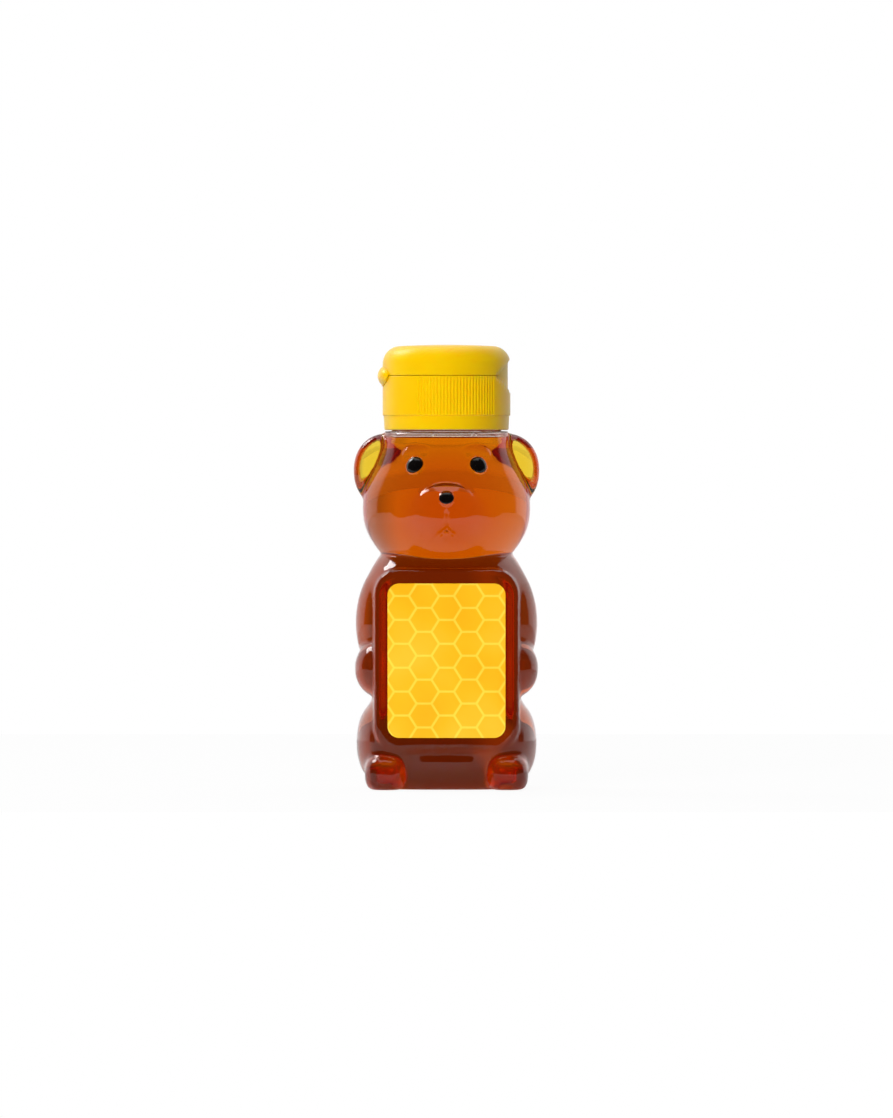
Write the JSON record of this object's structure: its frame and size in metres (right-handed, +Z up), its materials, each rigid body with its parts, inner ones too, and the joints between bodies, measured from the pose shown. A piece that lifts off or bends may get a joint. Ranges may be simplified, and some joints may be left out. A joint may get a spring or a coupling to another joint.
{
  "type": "honey bear bottle",
  "caption": "Clear squeeze bottle shaped as a seated bear, filled with honey, with a yellow screw-on flip-top closure, a belly panel label and a sealing disc.",
  "frame": {"origin": "Ground point under the middle of the bottle's outer box; the bottle stands on z = 0.", "axes": "+Z up along the neck, the bear looks along -Y, the lid's thumb tab is at -X and its hinge at +X."},
  "size_m": [0.0596, 0.0574, 0.142],
  "materials": {
    "clear_pet": "clear blow-moulded PET, glossy",
    "honey": "clear amber honey",
    "label_film": "satin printed film label",
    "black_ink": "glossy printed ink",
    "liner_foam": "pressed foam sealing disc",
    "yellow_pp": "injection-moulded polypropylene, soft gloss"
  },
  "bodies": {
    "bottle": {"bottle": "clear_pet", "honey": "honey", "label": "label_film", "eye_left": "black_ink", "eye_right": "black_ink", "nose": "black_ink"},
    "seal": {"seal_liner": "liner_foam"},
    "cap": {"cap_base": "yellow_pp"},
    "lid": {"flip_lid": "yellow_pp"}
  },
  "joints": [
    {"name": "cap_lift", "type": "slide", "parent": "bottle", "child": "seal", "axis": [0, 0, 1], "range_m": [0, 0.0128]},
    {"name": "cap_turn", "type": "hinge", "parent": "seal", "child": "cap", "pos_m": [0, 0.00272, 0.12], "axis": [0, 0, 1], "range_deg": [0, 1080]},
    {"name": "lid_flip", "type": "hinge", "parent": "cap", "child": "lid", "pos_m": [0.0197, 0.00272, 0.132], "axis": [0, 1, 0], "range_deg": [0, 150]}
  ],
  "couplings": [
    {"joint": "cap_lift", "follows": "cap_turn", "m_per_rad": 0.0006737}
  ]
}
